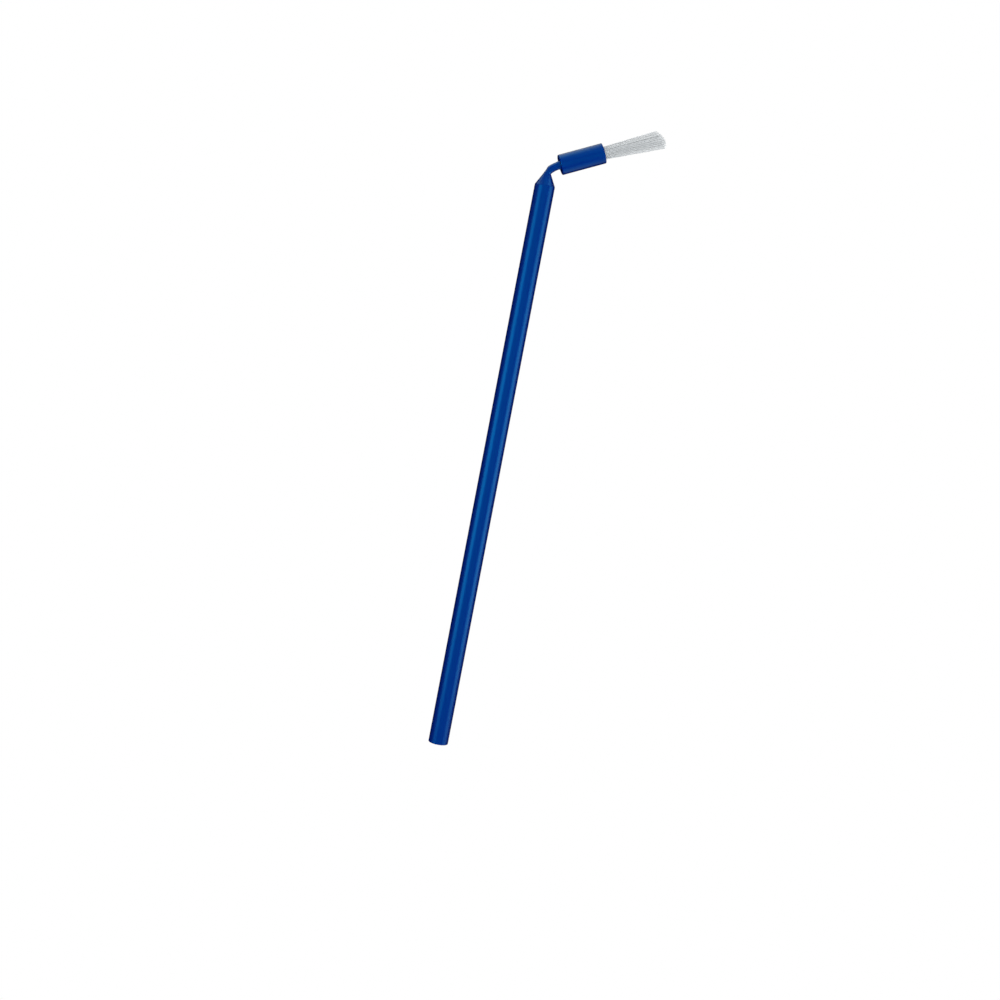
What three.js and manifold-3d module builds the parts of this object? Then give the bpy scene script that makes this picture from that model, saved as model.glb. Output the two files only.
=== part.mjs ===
// Bendable dental brush applicator: a moulded blue bar with a cone, a thin bendable neck and
// a socket head, and a tuft of nylon filaments folded over a metal anchor in the socket.
//
// Millimetres, +Z up. The applicator lies flat. The origin is the centre of the handle's butt
// face, the bar runs along +X, and the neck bends the head towards -Y in the plane Z = 0.
import * as THREE from 'three';
import { mergeVertices } from 'three/addons/utils/BufferGeometryUtils.js';
import Module from 'manifold-3d';

const wasm = await Module();
wasm.setup();

// Handle bar and the cone that ends it
const BAR_DIAMETER = 2.7;
const BAR_LENGTH = 76.4;
const BUTT_EDGE_RADIUS = 0.12;
const CONE_LENGTH = 1.6;

// Neck: a tight bend at the cone, then a gentle one up to the head
const NECK_DIAMETER = 1.03;
const ROOT_BEND = THREE.MathUtils.degToRad(42);
const ROOT_BEND_RADIUS = 0.65;
const TIP_BEND = THREE.MathUtils.degToRad(22);
const TIP_BEND_RADIUS = 4.2;
const NECK_FLARE_DIAMETER = 1.22;
const NECK_FLARE_LENGTH = 0.5;

// Head: a round socket with a blind bore
const HEAD_DIAMETER = 2.7;
const HEAD_LENGTH = 6;
const HEAD_EDGE_RADIUS = 0.17;
const MOUTH_CHAMFER = 0.04;
const BORE_DIAMETER = 1.85;
const BORE_DEPTH = 4.2;

// Anchor: a flat piece of wire that bites into both sides of the bore
const ANCHOR_THICKNESS = 0.25;
const ANCHOR_WIDTH = 2;
const ANCHOR_HEIGHT = 1.5;
const ANCHOR_ABOVE_BORE_END = 0.96;

// Filaments: each is folded once under the anchor, so it has two free ends
const FILAMENT_DIAMETER = 0.15;
const FILAMENT_PITCH = 0.154;
const FILAMENT_WALL_GAP = 0.005;
const TUFT_LENGTH = 8.3;
const TUFT_TIP_DIAMETER = 2.56;
const TUFT_END_SLOPE = 0.28;
const TUFT_END_DOME = 0.36;
const TUFT_LEAN = -0.24;
const TIP_WANDER = 0.13;

// Distances from the anchor's middle plane to the rows of filaments beside it. The rows stand
// beside the anchor at the fold, close over it at the mouth of the bore, and part at the tips.
const FOLD_FIRST_ROW = 0.21;
const MOUTH_FIRST_ROW = 0.077;
const MOUTH_ROW_PITCH = 0.167;
const TIP_FIRST_ROW = 0.2;
const TIP_ROW_PITCH = 0.25;

// Space left between two pieces that touch
const TOUCH_GAP = 0.02;
const ROUND_SIDES = 48;
const GOLDEN_FRACTION = (Math.sqrt(5) - 1) / 2;

const barRadius = BAR_DIAMETER / 2;
const neckRadius = NECK_DIAMETER / 2;
const headRadius = HEAD_DIAMETER / 2;
const boreRadius = BORE_DIAMETER / 2;
const filamentRadius = FILAMENT_DIAMETER / 2;
const rootBendLength = ROOT_BEND * ROOT_BEND_RADIUS;
const neckLength = rootBendLength + TIP_BEND * TIP_BEND_RADIUS;
const boreEnd = HEAD_LENGTH - BORE_DEPTH;
const anchorFoot = boreEnd + ANCHOR_ABOVE_BORE_END;
const anchorTop = anchorFoot + ANCHOR_HEIGHT;

const bluePlastic = new THREE.MeshStandardMaterial({ color: 0x0b3f95, roughness: 0.35 });
const clearNylon = new THREE.MeshStandardMaterial({ color: 0xdfe5e6, roughness: 0.4 });
const brass = new THREE.MeshStandardMaterial({ color: 0xb99a4e, roughness: 0.35, metalness: 1 });

function namedMesh(name, geometry, material) {
  const mesh = new THREE.Mesh(geometry, material);
  mesh.name = name;
  return mesh;
}

// A body of revolution. The profile holds [radius, height] pairs, and the axis becomes +Z.
function turned(profile) {
  const points = profile.map(([radius, height]) => new THREE.Vector2(radius, height));
  return new THREE.LatheGeometry(points, ROUND_SIDES).rotateX(Math.PI / 2);
}

// The points of a quarter-round edge, from one angle to another about its centre.
function edgeArc(centreRadius, centreHeight, radius, fromDegrees, toDegrees) {
  const steps = 4;
  return Array.from({ length: steps + 1 }, (_, step) => {
    const angle = THREE.MathUtils.degToRad(
      THREE.MathUtils.lerp(fromDegrees, toDegrees, step / steps));
    return [centreRadius + radius * Math.cos(angle), centreHeight + radius * Math.sin(angle)];
  });
}

function toManifold(geometry) {
  const bare = geometry.clone();
  bare.deleteAttribute('normal');
  bare.deleteAttribute('uv');
  const merged = mergeVertices(bare, 1e-5);
  return new wasm.Manifold(new wasm.Mesh({
    numProp: 3,
    vertProperties: new Float32Array(merged.attributes.position.array),
    triVerts: new Uint32Array(merged.index.array),
  }));
}

function fromManifold(solid) {
  const { vertProperties, triVerts } = solid.getMesh();
  const geometry = new THREE.BufferGeometry();
  geometry.setAttribute('position', new THREE.BufferAttribute(vertProperties, 3));
  geometry.setIndex(new THREE.BufferAttribute(triVerts, 1));
  geometry.computeVertexNormals();
  return geometry;
}

// A round rod along a curve, with a ring at each of the curve's equal parameter steps.
function rod(curve, radius, sides, steps) {
  const section = new THREE.Shape().absarc(0, 0, radius, 0, 2 * Math.PI);
  return new THREE.ExtrudeGeometry(section, {
    extrudePath: curve,
    steps,
    curveSegments: sides / 2,
    bevelEnabled: false,
  });
}

// The neck's centre line. It starts at the cone's tip, heading along +X.
function neckPoint(distance) {
  const rootAngle = Math.min(distance, rootBendLength) / ROOT_BEND_RADIUS;
  const tipAngle = ROOT_BEND + Math.max(distance - rootBendLength, 0) / TIP_BEND_RADIUS;
  const along = ROOT_BEND_RADIUS * Math.sin(rootAngle)
    + TIP_BEND_RADIUS * (Math.sin(tipAngle) - Math.sin(ROOT_BEND));
  const across = ROOT_BEND_RADIUS * (1 - Math.cos(rootAngle))
    + TIP_BEND_RADIUS * (Math.cos(ROOT_BEND) - Math.cos(tipAngle));
  return new THREE.Vector3(BAR_LENGTH + CONE_LENGTH + along, -across, 0);
}

class NeckCurve extends THREE.Curve {
  getPoint(t, target = new THREE.Vector3()) {
    return target.copy(neckPoint(THREE.MathUtils.lerp(TOUCH_GAP, neckLength - TOUCH_GAP, t)));
  }
}

// Across the head: x points to the outside of the bend, y up. Along the head: z, from its base.
const headFrame = new THREE.Group();
const bend = ROOT_BEND + TIP_BEND;
headFrame.quaternion.setFromRotationMatrix(new THREE.Matrix4().makeBasis(
  new THREE.Vector3(Math.sin(bend), Math.cos(bend), 0),
  new THREE.Vector3(0, 0, 1),
  new THREE.Vector3(Math.cos(bend), -Math.sin(bend), 0)));
headFrame.position.copy(neckPoint(neckLength));
headFrame.updateMatrix();

function handleBar() {
  const edgeCentre = barRadius - BUTT_EDGE_RADIUS;
  const geometry = turned([
    [0, 0],
    ...edgeArc(edgeCentre, BUTT_EDGE_RADIUS, BUTT_EDGE_RADIUS, -90, 0),
    [barRadius, BAR_LENGTH],
    [neckRadius, BAR_LENGTH + CONE_LENGTH],
    [0, BAR_LENGTH + CONE_LENGTH],
  ]);
  return namedMesh('handle_bar', geometry.rotateY(Math.PI / 2), bluePlastic);
}

function neck() {
  const stem = rod(new NeckCurve(), neckRadius, 24, 20);
  const flare = turned([
    [0, -NECK_FLARE_LENGTH],
    [neckRadius, -NECK_FLARE_LENGTH],
    [NECK_FLARE_DIAMETER / 2, -TOUCH_GAP],
    [0, -TOUCH_GAP],
  ]).applyMatrix4(headFrame.matrix);
  return namedMesh('neck', fromManifold(toManifold(stem).add(toManifold(flare))), bluePlastic);
}

function head() {
  const edgeCentre = headRadius - HEAD_EDGE_RADIUS;
  const socket = turned([
    [0, 0],
    ...edgeArc(edgeCentre, HEAD_EDGE_RADIUS, HEAD_EDGE_RADIUS, -90, 0),
    [headRadius, HEAD_LENGTH - MOUTH_CHAMFER],
    [headRadius - MOUTH_CHAMFER, HEAD_LENGTH],
    [boreRadius, HEAD_LENGTH],
    [boreRadius, boreEnd],
    [0, boreEnd],
  ]);
  const slot = new THREE.BoxGeometry(
    ANCHOR_THICKNESS + 2 * TOUCH_GAP,
    ANCHOR_WIDTH + 2 * TOUCH_GAP,
    ANCHOR_HEIGHT + 2 * TOUCH_GAP);
  slot.translate(0, 0, anchorFoot + ANCHOR_HEIGHT / 2);
  return namedMesh('head', fromManifold(toManifold(socket).subtract(toManifold(slot))), bluePlastic);
}

function anchor() {
  const plate = new THREE.BoxGeometry(ANCHOR_THICKNESS, ANCHOR_WIDTH, ANCHOR_HEIGHT);
  plate.translate(0, 0, anchorFoot + ANCHOR_HEIGHT / 2);
  return namedMesh('anchor', plate, brass);
}

// Where the filaments pass the anchor: rows of legs in hexagonal packing on one side of it.
// The other leg of each filament is its mirror image across the anchor.
function filamentLegs() {
  const reach = boreRadius - filamentRadius - FILAMENT_WALL_GAP;
  const rowPitch = FILAMENT_PITCH * Math.sin(Math.PI / 3);
  const legs = [];
  for (let row = 0; FOLD_FIRST_ROW + row * rowPitch < reach; row += 1) {
    const x = FOLD_FIRST_ROW + row * rowPitch;
    const halfRow = Math.sqrt(reach ** 2 - x ** 2);
    const shift = (row % 2) / 2;
    for (let place = -Math.floor(halfRow / FILAMENT_PITCH + shift); ; place += 1) {
      const y = (place + shift) * FILAMENT_PITCH;
      if (y > halfRow) break;
      legs.push({ row, x, y });
    }
  }
  return legs;
}

// The trimmed tip of one leg. The tips stand a little out of line, and those of the two legs
// are a quarter of the spacing to either side, so that the tuft closes over the anchor.
function tipPoint(leg, side, number) {
  const spread = (TUFT_TIP_DIAMETER / 2 - filamentRadius) / (boreRadius - filamentRadius);
  const wander = TIP_WANDER * ((number * GOLDEN_FRACTION) % 1);
  const x = side * (TIP_FIRST_ROW + leg.row * TIP_ROW_PITCH - wander);
  const y = spread * (leg.y + side * FILAMENT_PITCH / 4);
  const length = TUFT_LENGTH - TUFT_END_SLOPE * x - TUFT_END_DOME * (x ** 2 + y ** 2);
  return new THREE.Vector3(x + TUFT_LEAN, y, HEAD_LENGTH + length);
}

// One leg from its tip to the start of the fold.
function legPoints(leg, side, number) {
  const mouthX = side * (MOUTH_FIRST_ROW + leg.row * MOUTH_ROW_PITCH);
  return [
    tipPoint(leg, side, number),
    new THREE.Vector3(mouthX, leg.y, HEAD_LENGTH),
    new THREE.Vector3(side * leg.x, leg.y, anchorTop),
  ];
}

// Half a turn under the anchor, from one leg to the other.
function foldPoints(leg) {
  const steps = 6;
  return Array.from({ length: steps + 1 }, (_, step) => {
    const turn = Math.PI * step / steps;
    return new THREE.Vector3(
      leg.x * Math.cos(turn), leg.y, anchorFoot - leg.x * Math.sin(turn));
  });
}

// Straight stretches between points, with each point at an equal step of the parameter.
class Polyline extends THREE.Curve {
  constructor(points) {
    super();
    this.points = points;
  }

  getUtoTmapping(u) {
    return u;
  }

  getPoint(t, target = new THREE.Vector3()) {
    const place = t * (this.points.length - 1);
    const index = Math.min(Math.floor(place), this.points.length - 2);
    return target.lerpVectors(this.points[index], this.points[index + 1], place - index);
  }
}

function filament(leg, index) {
  const number = index + 1;
  const points = [
    ...legPoints(leg, 1, 2 * number),
    ...foldPoints(leg),
    ...legPoints(leg, -1, 2 * number + 1).reverse(),
  ];
  const geometry = rod(new Polyline(points), filamentRadius, 6, points.length - 1);
  return namedMesh(`filament_${String(number).padStart(2, '0')}`, geometry, clearNylon);
}

headFrame.add(head(), anchor(), ...filamentLegs().map(filament));

const applicator = new THREE.Group();
applicator.add(handleBar(), neck(), headFrame);

export default applicator;
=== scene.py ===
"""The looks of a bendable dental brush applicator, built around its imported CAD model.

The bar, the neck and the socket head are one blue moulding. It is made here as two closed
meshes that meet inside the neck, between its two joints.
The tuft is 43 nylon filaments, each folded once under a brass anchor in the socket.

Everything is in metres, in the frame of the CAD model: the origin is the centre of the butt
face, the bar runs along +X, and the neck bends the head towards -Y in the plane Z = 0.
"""

import math

import bmesh
import bpy
from mathutils import Matrix, Vector


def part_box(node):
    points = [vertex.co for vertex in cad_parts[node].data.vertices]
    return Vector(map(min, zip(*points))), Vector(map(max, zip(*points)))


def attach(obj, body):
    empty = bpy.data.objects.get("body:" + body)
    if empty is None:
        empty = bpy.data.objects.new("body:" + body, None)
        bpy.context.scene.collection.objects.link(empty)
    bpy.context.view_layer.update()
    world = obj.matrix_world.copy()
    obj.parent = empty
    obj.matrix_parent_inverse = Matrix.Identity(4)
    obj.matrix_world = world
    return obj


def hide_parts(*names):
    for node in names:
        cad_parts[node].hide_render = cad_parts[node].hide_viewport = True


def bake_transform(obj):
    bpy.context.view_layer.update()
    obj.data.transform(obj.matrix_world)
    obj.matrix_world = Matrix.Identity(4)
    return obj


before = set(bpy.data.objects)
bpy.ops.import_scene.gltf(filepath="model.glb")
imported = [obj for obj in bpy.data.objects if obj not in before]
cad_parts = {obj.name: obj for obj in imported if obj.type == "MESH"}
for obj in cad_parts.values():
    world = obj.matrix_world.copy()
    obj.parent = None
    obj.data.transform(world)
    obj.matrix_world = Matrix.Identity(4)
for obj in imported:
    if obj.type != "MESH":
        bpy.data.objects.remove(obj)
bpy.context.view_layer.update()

MM = 0.001

# ---- Sizes that the frame's boxes give ------------------------------------------------------
bar_low, bar_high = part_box("handle_bar")
bar_radius = bar_high.z
cone_tip = bar_high.x
anchor_low, anchor_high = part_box("anchor")
anchor_width = anchor_high.z - anchor_low.z

# ---- Sizes of the moulding ------------------------------------------------------------------
CONE_LENGTH = 1.6 * MM
BUTT_EDGE_RADIUS = 0.12 * MM
SHOULDER_EDGE_RADIUS = 0.08 * MM
NECK_RADIUS = 0.515 * MM
NECK_FLARE_RADIUS = 0.61 * MM
NECK_FLARE_LENGTH = 0.5 * MM
ROOT_BEND = math.radians(42)
ROOT_BEND_RADIUS = 0.65 * MM
TIP_BEND = math.radians(22)
TIP_BEND_RADIUS = 4.2 * MM
BEND_FLATTENING = 0.3
FLATTENING_LENGTH = 0.25 * MM
FLATTENING_PLACE = 0.6
HEAD_LENGTH = 6 * MM
HEAD_BASE_EDGE = 0.17 * MM
HEAD_MOUTH_EDGE = 0.05 * MM
BORE_RADIUS = 0.925 * MM
BORE_DEPTH = 4.2 * MM
NECK_SPLIT_PAST_ROOT_BEND = 0.08 * MM
NECK_STEPS_IN_HANDLE = 14
NECK_STEPS_IN_HEAD = 24
ROUND_SIDES = 64
MOULDING_SHARP_DEGREES = 40
BOX_SHARP_DEGREES = 30

# ---- Sizes of the anchor and the tuft -------------------------------------------------------
ANCHOR_THICKNESS = 0.25 * MM
ANCHOR_HEIGHT = 1.5 * MM
ANCHOR_EDGE = 0.03 * MM
ANCHOR_ABOVE_BORE_END = 0.96 * MM
ANCHOR_SLOT_GAP = 0.02 * MM
FILAMENT_RADIUS = 0.075 * MM
FILAMENT_PITCH = 0.154 * MM
FILAMENT_WALL_GAP = 0.005 * MM
TUFT_LENGTH = 8.3 * MM
TUFT_TIP_RADIUS = 1.28 * MM
TUFT_END_SLOPE = 0.28
TUFT_END_DOME = 0.36 / MM
TUFT_LEAN = -0.24 * MM
TIP_WANDER = 0.13 * MM
FOLD_FIRST_ROW = 0.21 * MM
MOUTH_FIRST_ROW = 0.077 * MM
MOUTH_ROW_PITCH = 0.167 * MM
BEND_BEFORE_MOUTH = 0.15
BEND_AFTER_MOUTH = 0.05
TIP_FIRST_ROW = 0.2 * MM
TIP_ROW_PITCH = 0.25 * MM
FILAMENT_SIDES = 10
FILAMENT_SHARP_DEGREES = 60
FOLD_STEPS = 10

GOLDEN_FRACTION = (math.sqrt(5) - 1) / 2

root_bend_length = ROOT_BEND * ROOT_BEND_RADIUS
neck_length = root_bend_length + TIP_BEND * TIP_BEND_RADIUS
head_radius = bar_radius
bore_end = HEAD_LENGTH - BORE_DEPTH
anchor_foot = bore_end + ANCHOR_ABOVE_BORE_END
anchor_top = anchor_foot + ANCHOR_HEIGHT

# The two meshes of the moulding meet here, in the neck between its two joints.
neck_split = root_bend_length + NECK_SPLIT_PAST_ROOT_BEND


# ---- The centre line ------------------------------------------------------------------------
def centre_line(distance):
    """The moulding's centre and its heading, at a distance past the cone's tip."""
    if distance <= 0:
        return Vector((cone_tip + distance, 0, 0)), 0.0
    root_angle = min(distance, root_bend_length) / ROOT_BEND_RADIUS
    in_tip_bend = min(distance, neck_length) - root_bend_length
    heading = root_angle + max(in_tip_bend, 0) / TIP_BEND_RADIUS
    along = ROOT_BEND_RADIUS * math.sin(root_angle)
    across = ROOT_BEND_RADIUS * (1 - math.cos(root_angle))
    if distance > root_bend_length:
        along += TIP_BEND_RADIUS * (math.sin(heading) - math.sin(ROOT_BEND))
        across += TIP_BEND_RADIUS * (math.cos(ROOT_BEND) - math.cos(heading))
    beyond = max(distance - neck_length, 0)
    along += beyond * math.cos(heading)
    across += beyond * math.sin(heading)
    return Vector((cone_tip + along, -across, 0)), heading


def section_frame(distance):
    """Places a section on the centre line: x to the bend's outer side, y up, z ahead."""
    centre, heading = centre_line(distance)
    outer = Vector((math.sin(heading), math.cos(heading), 0))
    ahead = Vector((math.cos(heading), -math.sin(heading), 0))
    up = Vector((0, 0, 1))
    columns = Matrix((outer, up, ahead)).transposed()
    return Matrix.Translation(centre) @ columns.to_4x4()


head_frame = section_frame(neck_length)


# ---- Mesh making ----------------------------------------------------------------------------
def finish_mesh(name, bm, sharp_degrees):
    """Turns a bmesh into a linked object, smooth but for its sharp edges."""
    bmesh.ops.recalc_face_normals(bm, faces=bm.faces)
    mesh = bpy.data.meshes.new(name)
    bm.to_mesh(mesh)
    bm.free()
    mesh.shade_smooth()
    mesh.set_sharp_from_angle(angle=math.radians(sharp_degrees))
    piece = bpy.data.objects.new(name, mesh)
    bpy.context.scene.collection.objects.link(piece)
    return piece


def ring_mesh(rings):
    """A closed skin through rings of points. A ring of one point closes an end."""
    bm = bmesh.new()
    loops = [[bm.verts.new(point) for point in ring] for ring in rings]
    for before, after in zip(loops, loops[1:]):
        sides = max(len(before), len(after))
        for side in range(sides):
            following = (side + 1) % sides
            corners = [before[side % len(before)], before[following % len(before)],
                       after[following % len(after)], after[side % len(after)]]
            bm.faces.new(list(dict.fromkeys(corners)))
    return bm


def circle(matrix, radius, sides, flattening=0.0):
    """A ring of points about a section's centre, flattened on its +x side."""
    if radius == 0:
        return [matrix.translation]
    ring = []
    for side in range(sides):
        turn = 2 * math.pi * side / sides
        x = radius * math.cos(turn)
        x -= max(x, 0) * flattening
        ring.append(matrix @ Vector((x, radius * math.sin(turn), 0)))
    return ring


def rounded(corners, steps=5):
    """Rounds a profile of (distance, radius, edge) corners, each by a curve that long."""
    profile = []
    for index, (distance, radius, edge) in enumerate(corners):
        here = Vector((distance, radius))
        if edge == 0:
            profile.append(tuple(here))
            continue
        before = here + (Vector(corners[index - 1][:2]) - here).normalized() * edge
        after = here + (Vector(corners[index + 1][:2]) - here).normalized() * edge
        for step in range(steps + 1):
            t = step / steps
            point = before * (1 - t) ** 2 + here * 2 * t * (1 - t) + after * t ** 2
            profile.append(tuple(point))
    return profile


def flattening_at(distance):
    """How much the stretched outer side of the tight bend is drawn in."""
    from_middle = (distance - root_bend_length * FLATTENING_PLACE) / FLATTENING_LENGTH
    return BEND_FLATTENING * math.exp(-from_middle ** 2)


def swept_mesh(profile, sides):
    """Sweeps a profile of (distance, radius) pairs along the centre line."""
    return ring_mesh([circle(section_frame(distance), radius, sides, flattening_at(distance))
                      for distance, radius in profile])


def between(start, end, steps):
    """Evenly spaced distances after start, up to and with end."""
    return [start + (end - start) * step / steps for step in range(1, steps + 1)]


# ---- The moulding ---------------------------------------------------------------------------
def neck_radius_at(distance):
    """The neck's radius, which swells smoothly into the head's base."""
    into_flare = max(0, distance - (neck_length - NECK_FLARE_LENGTH)) / NECK_FLARE_LENGTH
    return NECK_RADIUS + (NECK_FLARE_RADIUS - NECK_RADIUS) * into_flare ** 2


def make_handle():
    """The bar, its cone and the neck up to the split."""
    butt = bar_low.x - cone_tip
    corners = [
        (butt, 0, 0),
        (butt, bar_radius, BUTT_EDGE_RADIUS),
        (-CONE_LENGTH, bar_radius, SHOULDER_EDGE_RADIUS),
        (0, NECK_RADIUS, 0),
    ]
    profile = rounded(corners)
    profile += [(distance, NECK_RADIUS)
                for distance in between(0, neck_split, NECK_STEPS_IN_HANDLE)]
    profile.append((neck_split, 0))
    return finish_mesh("handle", swept_mesh(profile, ROUND_SIDES), MOULDING_SHARP_DEGREES)


def make_head():
    """The rest of the neck, and the socket with its blind bore."""
    profile = [(neck_split, 0), (neck_split, NECK_RADIUS)]
    profile += [(distance, neck_radius_at(distance))
                for distance in between(neck_split, neck_length, NECK_STEPS_IN_HEAD)]
    corners = [
        (0, NECK_FLARE_RADIUS, 0),
        (0, head_radius, HEAD_BASE_EDGE),
        (HEAD_LENGTH, head_radius, HEAD_MOUTH_EDGE),
        (HEAD_LENGTH, BORE_RADIUS, HEAD_MOUTH_EDGE),
        (bore_end, BORE_RADIUS, 0),
        (bore_end, 0, 0),
    ]
    profile += [(neck_length + distance, radius) for distance, radius in rounded(corners)[1:]]
    return finish_mesh("socket_head", swept_mesh(profile, ROUND_SIDES), MOULDING_SHARP_DEGREES)


def anchor_block(name, gap):
    """The anchor's box, grown by a gap on each side."""
    bm = bmesh.new()
    size = Vector((ANCHOR_THICKNESS, anchor_width, ANCHOR_HEIGHT)) + Vector((2 * gap,) * 3)
    centre = Vector((0, 0, anchor_foot + ANCHOR_HEIGHT / 2))
    bmesh.ops.create_cube(bm, size=1, matrix=Matrix.Diagonal(size.to_4d()))
    bmesh.ops.transform(bm, matrix=head_frame @ Matrix.Translation(centre), verts=bm.verts)
    return finish_mesh(name, bm, BOX_SHARP_DEGREES)


def apply_modifiers(piece):
    """Replaces a piece's mesh with what its modifiers make of it."""
    depsgraph = bpy.context.evaluated_depsgraph_get()
    piece.data = bpy.data.meshes.new_from_object(piece.evaluated_get(depsgraph))
    piece.modifiers.clear()


def cut_anchor_slots(head):
    """Cuts the two grooves that the anchor bites into the bore's wall."""
    cutter = anchor_block("slot_cutter", ANCHOR_SLOT_GAP)
    cut = head.modifiers.new("anchor_slots", "BOOLEAN")
    cut.operation = "DIFFERENCE"
    cut.object = cutter
    apply_modifiers(head)
    bpy.data.objects.remove(cutter)


def make_anchor():
    """The anchor: a short flat piece of wire with broken edges."""
    anchor = anchor_block("anchor_plate", 0)
    bevel = anchor.modifiers.new("edges", "BEVEL")
    bevel.width = ANCHOR_EDGE
    bevel.segments = 3
    apply_modifiers(anchor)
    return anchor


# ---- The tuft -------------------------------------------------------------------------------
def filament_legs():
    """Where the filaments pass the anchor, as (row, x, y) on one side of it."""
    reach = BORE_RADIUS - FILAMENT_RADIUS - FILAMENT_WALL_GAP
    row_pitch = FILAMENT_PITCH * math.sin(math.pi / 3)
    rows = math.ceil((reach - FOLD_FIRST_ROW) / row_pitch)
    legs = []
    for row in range(rows):
        x = FOLD_FIRST_ROW + row * row_pitch
        half_row = math.sqrt(reach ** 2 - x ** 2)
        shift = (row % 2) / 2
        first = -math.floor(half_row / FILAMENT_PITCH + shift)
        last = math.floor(half_row / FILAMENT_PITCH - shift)
        legs += [(row, x, (place + shift) * FILAMENT_PITCH) for place in range(first, last + 1)]
    return legs


def tip_point(row, y, side, number):
    """The trimmed tip of one leg. The tips stand a little out of line."""
    spread = (TUFT_TIP_RADIUS - FILAMENT_RADIUS) / (BORE_RADIUS - FILAMENT_RADIUS)
    wander = TIP_WANDER * ((number * GOLDEN_FRACTION) % 1)
    tip_x = side * (TIP_FIRST_ROW + row * TIP_ROW_PITCH - wander)
    tip_y = spread * (y + side * FILAMENT_PITCH / 4)
    length = TUFT_LENGTH - TUFT_END_SLOPE * tip_x - TUFT_END_DOME * (tip_x ** 2 + tip_y ** 2)
    return Vector((tip_x + TUFT_LEAN, tip_y, HEAD_LENGTH + length))


def leg_points(row, x, y, side, number):
    """One leg from its tip to the fold: spread, then closed over the anchor, then past it."""
    tip = tip_point(row, y, side, number)
    mouth = Vector((side * (MOUTH_FIRST_ROW + row * MOUTH_ROW_PITCH), y, HEAD_LENGTH))
    top = Vector((side * x, y, anchor_top))
    foot = Vector((side * x, y, anchor_foot))
    before_mouth = mouth.lerp(top, BEND_BEFORE_MOUTH)
    after_mouth = mouth.lerp(tip, BEND_AFTER_MOUTH)
    return [tip, tip.lerp(mouth, 0.5), after_mouth, mouth, before_mouth, top, foot]


def filament_path(row, x, y, number):
    """A folded filament: one leg, half a turn under the anchor, the other leg."""
    turns = [math.pi * step / FOLD_STEPS for step in range(1, FOLD_STEPS)]
    fold = [Vector((x * math.cos(turn), y, anchor_foot - x * math.sin(turn))) for turn in turns]
    other_leg = leg_points(row, x, y, -1, 2 * number + 1)
    return leg_points(row, x, y, 1, 2 * number) + fold + other_leg[::-1]


def filament_rings(path):
    """Rings along a path in the plane of its fold, with a rounded tip at each end."""
    dome = ((0, 0), (0.15, 0.5), (0.5, 0.87))
    rings = []
    for index, point in enumerate(path):
        before = path[max(index - 1, 0)]
        after = path[min(index + 1, len(path) - 1)]
        ahead = (after - before).normalized()
        side = Vector((0, 1, 0)) - ahead * ahead.y
        side.normalize()
        columns = Matrix((ahead.cross(side), side, ahead)).transposed()
        place = head_frame @ Matrix.Translation(point) @ columns.to_4x4()
        stations = [(0, 1)]
        if index == 0:
            stations = [(back, width) for back, width in dome] + [(1, 1)]
        if index == len(path) - 1:
            stations = [(-1, 1)] + [(-back, width) for back, width in reversed(dome)]
        for forward, width in stations:
            step = Matrix.Translation((0, 0, forward * FILAMENT_RADIUS))
            rings.append(circle(place @ step, width * FILAMENT_RADIUS, FILAMENT_SIDES))
    return rings


def make_filament(number, leg):
    """One nylon filament, which stands for the CAD filament of that number."""
    rings = filament_rings(filament_path(*leg, number))
    filament = finish_mesh(f"bristle_{number:02d}", ring_mesh(rings), FILAMENT_SHARP_DEGREES)
    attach(filament, "head")
    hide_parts(f"filament_{number:02d}")
    return filament


# ---- Materials ------------------------------------------------------------------------------
def new_material(name):
    """A node material, its node tree, its shader and object coordinates."""
    material = bpy.data.materials.new(name)
    material.use_nodes = True
    tree = material.node_tree
    shader = tree.nodes["Principled BSDF"]
    coordinates = tree.nodes.new("ShaderNodeTexCoord").outputs["Object"]
    return material, tree, shader, coordinates


def noise(tree, coordinates, size, detail=3, stretch=(1, 1, 1)):
    """Noise whose grains are about that size, in metres, drawn out by stretch."""
    mapping = tree.nodes.new("ShaderNodeMapping")
    mapping.inputs["Scale"].default_value = [1 / (size * s) for s in stretch]
    texture = tree.nodes.new("ShaderNodeTexNoise")
    texture.inputs["Scale"].default_value = 1
    texture.inputs["Detail"].default_value = detail
    tree.links.new(coordinates, mapping.inputs["Vector"])
    tree.links.new(mapping.outputs["Vector"], texture.inputs["Vector"])
    return texture.outputs["Fac"]


def ramp(tree, value, low, high, start=0.0, end=1.0):
    """Maps a value to a range."""
    node = tree.nodes.new("ShaderNodeMapRange")
    node.inputs["From Min"].default_value = start
    node.inputs["From Max"].default_value = end
    node.inputs["To Min"].default_value = low
    node.inputs["To Max"].default_value = high
    tree.links.new(value, node.inputs["Value"])
    return node.outputs["Result"]


def two_colours(tree, share, first, second):
    """Goes from the first colour to the second as share goes from 0 to 1."""
    node = tree.nodes.new("ShaderNodeMix")
    node.data_type = "RGBA"
    node.inputs["A"].default_value = (*first, 1)
    node.inputs["B"].default_value = (*second, 1)
    tree.links.new(share, node.inputs["Factor"])
    return node.outputs["Result"]


def bump(tree, shader, heights):
    """Adds bumps, one on another, from (height, depth in metres) pairs."""
    normal = None
    for height, depth in heights:
        node = tree.nodes.new("ShaderNodeBump")
        node.inputs["Strength"].default_value = 1
        node.inputs["Distance"].default_value = depth
        tree.links.new(height, node.inputs["Height"])
        if normal is not None:
            tree.links.new(normal, node.inputs["Normal"])
        normal = node.outputs["Normal"]
    tree.links.new(normal, shader.inputs["Normal"])


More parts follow.
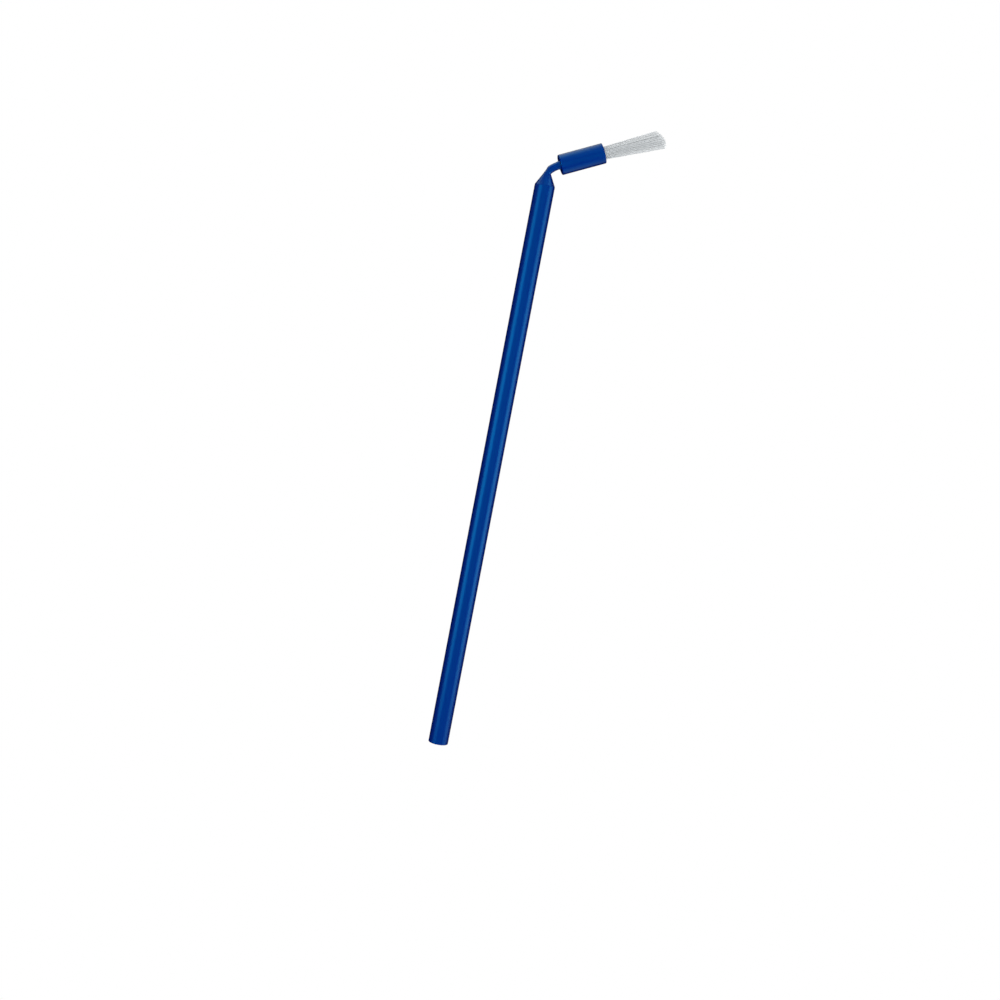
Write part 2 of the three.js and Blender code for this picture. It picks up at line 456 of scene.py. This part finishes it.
def blue_plastic():
    """Moulded polypropylene: satin, with faint flow lines and fine handling scratches."""
    material, tree, shader, coordinates = new_material("blue_plastic")
    flow = noise(tree, coordinates, 0.9 * MM, stretch=(14, 1, 1))
    grain = noise(tree, coordinates, 0.06 * MM)
    scratches = noise(tree, coordinates, 0.05 * MM, stretch=(60, 1, 1))
    colour = two_colours(tree, flow, (0.0003, 0.0100, 0.178), (0.0005, 0.0130, 0.206))
    tree.links.new(colour, shader.inputs["Base Color"])
    tree.links.new(ramp(tree, grain, 0.27, 0.35), shader.inputs["Roughness"])
    bump(tree, shader, [(flow, 0.006 * MM), (scratches, 0.0012 * MM), (grain, 0.0008 * MM)])
    shader.inputs["IOR"].default_value = 1.5
    shader.inputs["Specular Tint"].default_value = (0.005, 0.58, 1.0, 1)
    shader.inputs["Specular IOR Level"].default_value = 1
    return material


def clear_nylon():
    """Extruded nylon filament: milky and see-through, with faint streaks along it."""
    material, tree, shader, coordinates = new_material("clear_nylon")
    streaks = noise(tree, coordinates, 0.25 * MM, stretch=(3, 6, 1))
    grain = noise(tree, coordinates, 0.03 * MM)
    colour = two_colours(tree, streaks, (0.92, 0.965, 0.99), (0.95, 0.98, 0.998))
    tree.links.new(colour, shader.inputs["Base Color"])
    tree.links.new(ramp(tree, grain, 0.4, 0.55), shader.inputs["Roughness"])
    bump(tree, shader, [(grain, 0.0002 * MM)])
    shader.inputs["IOR"].default_value = 1.53
    shader.inputs["Alpha"].default_value = 0.25
    return material


def brass_wire():
    """Flattened brass wire: bright, with lengthwise drawing lines."""
    material, tree, shader, coordinates = new_material("brass_wire")
    lines = noise(tree, coordinates, 0.02 * MM, stretch=(1, 1, 30))
    tarnish = noise(tree, coordinates, 0.4 * MM)
    colour = two_colours(tree, tarnish, (0.78, 0.60, 0.30), (0.55, 0.40, 0.18))
    tree.links.new(colour, shader.inputs["Base Color"])
    tree.links.new(ramp(tree, lines, 0.25, 0.45), shader.inputs["Roughness"])
    bump(tree, shader, [(lines, 0.001 * MM)])
    shader.inputs["Metallic"].default_value = 1
    return material


def white_table():
    """A table that shines evenly, so that it is plain white and takes no shadow."""
    material, _, shader, _ = new_material("white_table")
    shader.inputs["Base Color"].default_value = (0, 0, 0, 1)
    shader.inputs["Specular IOR Level"].default_value = 0
    shader.inputs["Emission Color"].default_value = (1, 1, 1, 1)
    shader.inputs["Emission Strength"].default_value = 1
    return material


def paint(piece, material):
    """Gives a piece its one material."""
    piece.data.materials.clear()
    piece.data.materials.append(material)


# ---- The object -----------------------------------------------------------------------------
handle = make_handle()
centre_line(-0.02 * MM)[0]
centre_line(root_bend_length + 0.02 * MM)[0]
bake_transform(handle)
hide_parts("handle_bar", "neck")

socket_head = make_head()
cut_anchor_slots(socket_head)
centre_line(neck_split)[0]
centre_line(neck_length - 0.26 * MM)[0]
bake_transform(socket_head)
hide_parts("head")

anchor = make_anchor()
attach(anchor, "head")
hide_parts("anchor")

bristles = [make_filament(number, leg) for number, leg in enumerate(filament_legs(), start=1)]

blue = blue_plastic()
nylon = clear_nylon()
paint(handle, blue)
paint(socket_head, blue)
paint(anchor, brass_wire())
for bristle in bristles:
    paint(bristle, nylon)


# ---- The table, the camera and the lights ---------------------------------------------------
TABLE_HALF_WIDTH = 1.0
LIGHT_DISTANCE = 0.3
HEAD_LIGHT_DISTANCE = 0.2
SIDE_LIGHT_SHIFT = Vector((-0.02, 0, 0))
SOFTBOX_WIDTH = 0.4
LIGHT_WIDTH = 0.22
HEAD_LIGHT_WIDTH = 0.12
CORNER_LIGHT_WIDTH = 0.07
ROOM_STRENGTH = 0.2


def make_floor():
    """A plain white table top under the applicator."""
    half = TABLE_HALF_WIDTH
    bm = bmesh.new()
    corners = [(-half, -half), (half, -half), (half, half), (-half, half)]
    bm.faces.new([bm.verts.new((x, y, bar_low.z)) for x, y in corners])
    floor = finish_mesh("floor", bm, BOX_SHARP_DEGREES)
    paint(floor, white_table())
    floor.visible_diffuse = False
    floor.visible_glossy = False
    floor.visible_shadow = False


def make_camera():
    """The camera, turned to where the photograph was taken from."""
    azimuth = math.radians(133.42)
    elevation = math.radians(81.11)
    roll = math.radians(147.15)
    distance = 230 * MM
    target = Vector((34.35, -2.05, 0)) * MM
    back = Vector((math.sin(azimuth) * math.cos(elevation),
                   -math.cos(azimuth) * math.cos(elevation),
                   math.sin(elevation)))
    level_up = (Vector((0, 0, 1)) - back * back.z).normalized()
    level_right = level_up.cross(back)
    right = level_right * math.cos(roll) + level_up * math.sin(roll)
    up = level_up * math.cos(roll) - level_right * math.sin(roll)
    data = bpy.data.cameras.new("camera")
    data.sensor_width = 36
    data.lens = 61.53
    data.clip_start = 0.01
    data.clip_end = 10
    camera = bpy.data.objects.new("camera", data)
    columns = Matrix((right, up, back)).transposed()
    camera.matrix_world = Matrix.Translation(target + back * distance) @ columns.to_4x4()
    bpy.context.scene.collection.objects.link(camera)
    bpy.context.scene.camera = camera


def area_light(name, place, aim, width, height, radiance, turn_to=(1, 0, 0)):
    """A flat light whose width lies along turn_to, with a given radiance."""
    data = bpy.data.lights.new(name, "AREA")
    data.shape = "RECTANGLE"
    data.size = width
    data.size_y = height
    data.energy = radiance * math.pi * width * height
    light = bpy.data.objects.new(name, data)
    back = (Vector(place) - Vector(aim)).normalized()
    side = Vector(turn_to) - back * back.dot(Vector(turn_to))
    side.normalize()
    columns = Matrix((side, back.cross(side), back)).transposed()
    light.matrix_world = Matrix.Translation(place) @ columns.to_4x4()
    bpy.context.scene.collection.objects.link(light)
    light.visible_camera = False
    return light


def highlight_box(name, place, aim, width, height, radiance, turn_to=(1, 0, 0)):
    """A light that shows only as a highlight in glossy surfaces."""
    box = area_light(name, place, aim, width, height, radiance, turn_to)
    box.visible_diffuse = False


def towards(turn, rise):
    """A direction by its turn from +X, seen from above, and its rise, both in degrees."""
    level = math.cos(math.radians(rise))
    return Vector((level * math.cos(math.radians(turn)), level * math.sin(math.radians(turn)),
                   math.sin(math.radians(rise))))


def light_bar():
    """A softbox overhead for the colour, and a box on each side for the two highlights."""
    middle = Vector(((bar_low.x + bar_high.x) / 2, 0, 0))
    overhead = middle + Vector((0, 0, LIGHT_DISTANCE))
    softbox = area_light("softbox", overhead, middle, SOFTBOX_WIDTH, SOFTBOX_WIDTH, 2.75)
    softbox.visible_glossy = False
    for name, turn, rise, height, radiance in (
            ("left_box", 90, 36, 0.2, 2.6),
            ("right_box", -90, 21, 0.23, 2.3)):
        place = middle + SIDE_LIGHT_SHIFT + towards(turn, rise) * LIGHT_DISTANCE
        highlight_box(name, place, middle, LIGHT_WIDTH, height, radiance)


def light_cone():
    """Boxes past the bar's end, which carry the highlights on over the cone."""
    tip = Vector((cone_tip, 0, 0))
    for name, turn, rise, radiance in (
            ("front_box", 0, 35, 0.7),
            ("front_left_box", 41, 14, 0.4),
            ("front_right_box", -41, 10, 1.8)):
        place = tip + towards(turn, rise) * LIGHT_DISTANCE
        highlight_box(name, place, tip, LIGHT_WIDTH, LIGHT_WIDTH, radiance, turn_to=(0, 1, 0))


def light_head():
    """A box on each side of the head for its rims, and a small one for its base corner."""
    outer = head_frame.to_3x3() @ Vector((1, 0, 0))
    along = head_frame.to_3x3() @ Vector((0, 0, 1))
    head_middle = head_frame @ Vector((0, 0, HEAD_LENGTH / 2))
    for name, side, rise, height, radiance in (
            ("rim_box", 1, -22, 0.3, 1.4),
            ("inner_box", -1, 2, 0.22, 0.8)):
        away = outer * side * math.cos(math.radians(rise))
        away.z += math.sin(math.radians(rise))
        place = head_middle + away * HEAD_LIGHT_DISTANCE
        highlight_box(name, place, head_middle, HEAD_LIGHT_WIDTH, height, radiance,
                      turn_to=along)
    base_corner = head_frame @ Vector((head_radius, 0, 0))
    away = (outer * 0.7 - along * 0.5 - Vector((0, 0, 0.3))).normalized()
    place = base_corner + away * HEAD_LIGHT_DISTANCE
    highlight_box("corner_box", place, base_corner, CORNER_LIGHT_WIDTH, CORNER_LIGHT_WIDTH, 2.5)


def make_world():
    """White behind everything for the camera, and a dim room that isn't mirrored."""
    world = bpy.data.worlds.new("room")
    world.use_nodes = True
    bpy.context.scene.world = world
    tree = world.node_tree
    background = tree.nodes["Background"]
    path = tree.nodes.new("ShaderNodeLightPath")
    share = tree.nodes.new("ShaderNodeMapRange")
    share.inputs["To Min"].default_value = ROOM_STRENGTH
    share.inputs["To Max"].default_value = 1
    tree.links.new(path.outputs["Is Camera Ray"], share.inputs["Value"])
    tree.links.new(share.outputs["Result"], background.inputs["Strength"])
    background.inputs["Color"].default_value = (1, 1, 1, 1)
    world.cycles_visibility.glossy = False


make_floor()
make_camera()
light_bar()
light_head()
light_cone()
make_world()
bpy.context.scene.view_settings.view_transform = "Standard"
